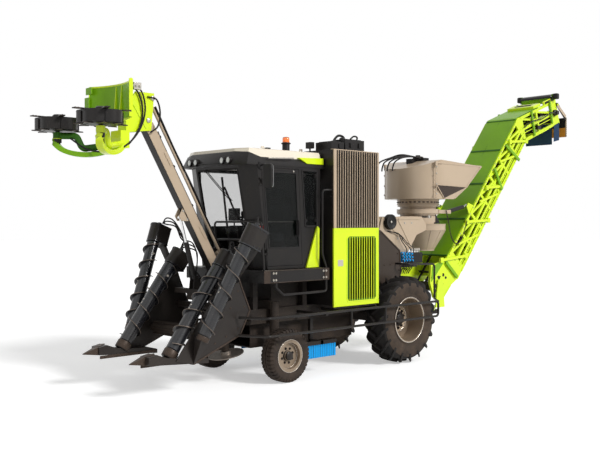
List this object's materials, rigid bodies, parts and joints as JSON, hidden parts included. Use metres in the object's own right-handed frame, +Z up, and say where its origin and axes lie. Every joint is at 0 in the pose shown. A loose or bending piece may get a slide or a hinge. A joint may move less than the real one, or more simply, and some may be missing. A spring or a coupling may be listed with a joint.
{
  "type": "sugarcane harvester",
  "caption": "Wheeled sugarcane harvester with a raised topper boom, crop divider scrolls, glazed cab, extractor hood and a rear slewing elevator.",
  "frame": {"origin": "on the ground under the middle of the whole length and width", "axes": "+X towards the front of the machine, +Y to its left, +Z up"},
  "size_m": [12.48, 2.6204, 5.265],
  "materials": {
    "chassis_black": "satin",
    "lime_paint": "gloss",
    "tan_paint": "satin",
    "cream_paint": "gloss",
    "rim_paint": "satin",
    "tyre_rubber": "matte",
    "tinted_glass": "gloss",
    "cab_trim": "matte",
    "green_cover": "satin",
    "blue_strip": "matte",
    "navy_strip": "matte",
    "worn_steel": "satin",
    "chrome_rod": "gloss"
  },
  "bodies": {
    "chassis": {"chassis_frame": "chassis_black", "front_axle": "chassis_black", "rear_axle": "chassis_black", "engine_and_core": "chassis_black", "engine_housing": "chassis_black", "engine_panels": "lime_paint", "radiator_box": "tan_paint", "platform": "chassis_black", "cab_shell": "chassis_black", "cab_roof": "cream_paint", "cab_glass": "tinted_glass", "cab_interior": "cab_trim", "mirrors": "cab_trim", "guard_rail_left": "chassis_black", "guard_rail_right": "chassis_black", "strip_curtain": "blue_strip", "throat": "chassis_black", "chopper_chamber": "chassis_black", "extractor_neck": "tan_paint"},
    "door": {"cab_door": "chassis_black", "door_glass": "tinted_glass"},
    "header": {"header_frame": "chassis_black", "divider_left": "chassis_black", "divider_right": "chassis_black"},
    "knockdown_roller": {"knockdown_roller": "chassis_black"},
    "tie_rod": {"tie_rod": "chassis_black"},
    "topper_boom": {"topper_boom": "tan_paint"},
    "topper_link": {"topper_link": "tan_paint"},
    "topper_lift_barrel": {"topper_lift_barrel": "chassis_black"},
    "topper_lift_rod": {"topper_lift_rod": "chrome_rod"},
    "topper_head": {"topper_head": "lime_paint"},
    "extractor_hood": {"extractor_hood": "tan_paint"},
    "extractor_fan": {"extractor_fan": "chassis_black"},
    "swing": {"turntable": "chassis_black", "swing_ring": "chassis_black"},
    "elevator": {"elevator_truss": "lime_paint", "elevator_chain": "chassis_black", "elevator_covers": "green_cover", "discharge_curtain": "navy_strip"},
    "elevator_lift_barrels": {"elevator_lift_barrels": "chassis_black"},
    "elevator_lift_rods": {"elevator_lift_rods": "chrome_rod"},
    "end_flap": {"end_flap": "chassis_black"},
    "scroll_outer_left": {"scroll_outer_left": "chassis_black"},
    "scroll_inner_left": {"scroll_inner_left": "chassis_black"},
    "base_cutter_left": {"base_cutter_left": "worn_steel"},
    "knuckle_left": {"knuckle_left": "chassis_black"},
    "front_wheel_left": {"front_rim_left": "rim_paint", "front_tyre_left": "tyre_rubber"},
    "rear_wheel_left": {"rear_rim_left": "rim_paint", "rear_tyre_left": "tyre_rubber"},
    "topper_drum_left": {"topper_drum_left": "chassis_black"},
    "scroll_outer_right": {"scroll_outer_right": "chassis_black"},
    "scroll_inner_right": {"scroll_inner_right": "chassis_black"},
    "base_cutter_right": {"base_cutter_right": "worn_steel"},
    "knuckle_right": {"knuckle_right": "chassis_black"},
    "front_wheel_right": {"front_rim_right": "rim_paint", "front_tyre_right": "tyre_rubber"},
    "rear_wheel_right": {"rear_rim_right": "rim_paint", "rear_tyre_right": "tyre_rubber"},
    "topper_drum_right": {"topper_drum_right": "chassis_black"}
  },
  "joints": [
    {"name": "steer_left", "type": "hinge", "parent": "chassis", "child": "knuckle_left", "pos_m": [2.915, 0.64, 0.4], "axis": [0, 0, 1], "range_deg": [-32, 32]},
    {"name": "steer_right", "type": "hinge", "parent": "chassis", "child": "knuckle_right", "pos_m": [2.915, -0.64, 0.4], "axis": [0, 0, 1], "range_deg": [-32, 32]},
    {"name": "tie_rod", "type": "hinge", "parent": "knuckle_left", "child": "tie_rod", "pos_m": [2.725, 0.61, 0.44], "axis": [0, 0, 1], "range_deg": [-33, 33]},
    {"name": "front_wheel_left", "type": "hinge", "parent": "knuckle_left", "child": "front_wheel_left", "pos_m": [2.915, 0.89, 0.4], "axis": [0, 1, 0], "continuous": true},
    {"name": "rear_wheel_left", "type": "hinge", "parent": "chassis", "child": "rear_wheel_left", "pos_m": [0.24, 0.897, 0.7375], "axis": [0, 1, 0], "continuous": true},
    {"name": "front_wheel_right", "type": "hinge", "parent": "knuckle_right", "child": "front_wheel_right", "pos_m": [2.915, -0.89, 0.4], "axis": [0, 1, 0], "continuous": true},
    {"name": "rear_wheel_right", "type": "hinge", "parent": "chassis", "child": "rear_wheel_right", "pos_m": [0.24, -0.897, 0.7375], "axis": [0, 1, 0], "continuous": true},
    {"name": "cab_door", "type": "hinge", "parent": "chassis", "child": "door", "pos_m": [3.25577, 0.822, 2.4], "axis": [-0.0887, 0, -0.9961], "range_deg": [0, 75]},
    {"name": "header_lift", "type": "hinge", "parent": "chassis", "child": "header", "pos_m": [3.34, 0, 0.97], "axis": [0, -1, 0], "range_deg": [-12, 2]},
    {"name": "scroll_outer_left", "type": "hinge", "parent": "header", "child": "scroll_outer_left", "pos_m": [4.47, 0.9, 0.777], "axis": [-0.3961, 0.1739, 0.9016], "continuous": true},
    {"name": "scroll_outer_right", "type": "hinge", "parent": "header", "child": "scroll_outer_right", "pos_m": [4.47, -0.9, 0.777], "axis": [-0.3961, -0.1739, 0.9016], "continuous": true},
    {"name": "scroll_inner_left", "type": "hinge", "parent": "header", "child": "scroll_inner_left", "pos_m": [4.795, 0.596, 0.581], "axis": [-0.5876, 0, 0.8092], "continuous": true},
    {"name": "scroll_inner_right", "type": "hinge", "parent": "header", "child": "scroll_inner_right", "pos_m": [4.795, -0.596, 0.581], "axis": [-0.5876, 0, 0.8092], "continuous": true},
    {"name": "knockdown_roller", "type": "hinge", "parent": "header", "child": "knockdown_roller", "pos_m": [4.2, 0, 0.8], "axis": [0, 1, 0], "continuous": true},
    {"name": "base_cutter_left", "type": "hinge", "parent": "header", "child": "base_cutter_left", "pos_m": [3.57, 0.29, 0.42], "axis": [0.2079, 0, 0.9781], "continuous": true},
    {"name": "base_cutter_right", "type": "hinge", "parent": "header", "child": "base_cutter_right", "pos_m": [3.57, -0.29, 0.42], "axis": [0.2079, 0, 0.9781], "continuous": true},
    {"name": "topper_lift", "type": "hinge", "parent": "chassis", "child": "topper_boom", "pos_m": [3.52, 0, 1.6], "axis": [0, -1, 0], "range_deg": [-45, 5]},
    {"name": "topper_link", "type": "hinge", "parent": "chassis", "child": "topper_link", "pos_m": [3.45, 0, 1.92], "axis": [0, -1, 0], "range_deg": [-46, 6]},
    {"name": "topper_head", "type": "hinge", "parent": "topper_boom", "child": "topper_head", "pos_m": [4.81829, 0, 3.83069], "axis": [0, -1, 0], "range_deg": [-6, 46]},
    {"name": "topper_lift_barrel", "type": "hinge", "parent": "chassis", "child": "topper_lift_barrel", "pos_m": [3.94, 0, 1.56], "axis": [0, -1, 0], "range_deg": [-60, 7]},
    {"name": "topper_lift_rod", "type": "slide", "parent": "topper_lift_barrel", "child": "topper_lift_rod", "axis": [0.2744, 0, 0.9616], "range_m": [-0.28, 0.032]},
    {"name": "topper_drum_left", "type": "hinge", "parent": "topper_head", "child": "topper_drum_left", "pos_m": [5.85, 0.576, 3.745], "axis": [0, 0, 1], "continuous": true},
    {"name": "topper_drum_right", "type": "hinge", "parent": "topper_head", "child": "topper_drum_right", "pos_m": [5.85, -0.576, 3.745], "axis": [0, 0, 1], "continuous": true},
    {"name": "extractor_hood", "type": "hinge", "parent": "chassis", "child": "extractor_hood", "pos_m": [-1.36, 0, 2.72], "axis": [0, 0, 1], "range_deg": [-150, 150]},
    {"name": "extractor_fan", "type": "hinge", "parent": "extractor_hood", "child": "extractor_fan", "pos_m": [-1.36, 0, 2.9], "axis": [0, 0, 1], "continuous": true},
    {"name": "elevator_slew", "type": "hinge", "parent": "chassis", "child": "swing", "pos_m": [-1.36, 0, 0.8], "axis": [0, 0, 1], "range_deg": [-80, 80]},
    {"name": "elevator_lift", "type": "hinge", "parent": "swing", "child": "elevator", "pos_m": [-1.517, 0, 1.237], "axis": [0, 1, 0], "range_deg": [-12, 2]},
    {"name": "elevator_lift_barrels", "type": "hinge", "parent": "swing", "child": "elevator_lift_barrels", "pos_m": [-1.86, 0, 2.6], "axis": [0, 1, 0], "range_deg": [-20, 4]},
    {"name": "elevator_lift_rods", "type": "slide", "parent": "elevator_lift_barrels", "child": "elevator_lift_rods", "axis": [-0.9814, 0, 0.1921], "range_m": [-0.05, 0.285]},
    {"name": "end_flap", "type": "hinge", "parent": "elevator", "child": "end_flap", "pos_m": [-5.84, 0, 5.04], "axis": [0, 1, 0], "range_deg": [-10, 35]}
  ],
  "couplings": [
    {"joint": "steer_right", "follows": "steer_left", "ratio": 1},
    {"joint": "tie_rod", "follows": "steer_left", "ratio": -1},
    {"joint": "topper_link", "follows": "topper_lift", "ratio": 1},
    {"joint": "topper_head", "follows": "topper_lift", "ratio": -1},
    {"joint": "topper_lift_barrel", "follows": "topper_lift", "ratio": 1.27},
    {"joint": "topper_lift_rod", "follows": "topper_lift", "m_per_rad": 0.338},
    {"joint": "elevator_lift_barrels", "follows": "elevator_lift", "ratio": 1.5603},
    {"joint": "elevator_lift_rods", "follows": "elevator_lift", "m_per_rad": -1.3244}
  ]
}
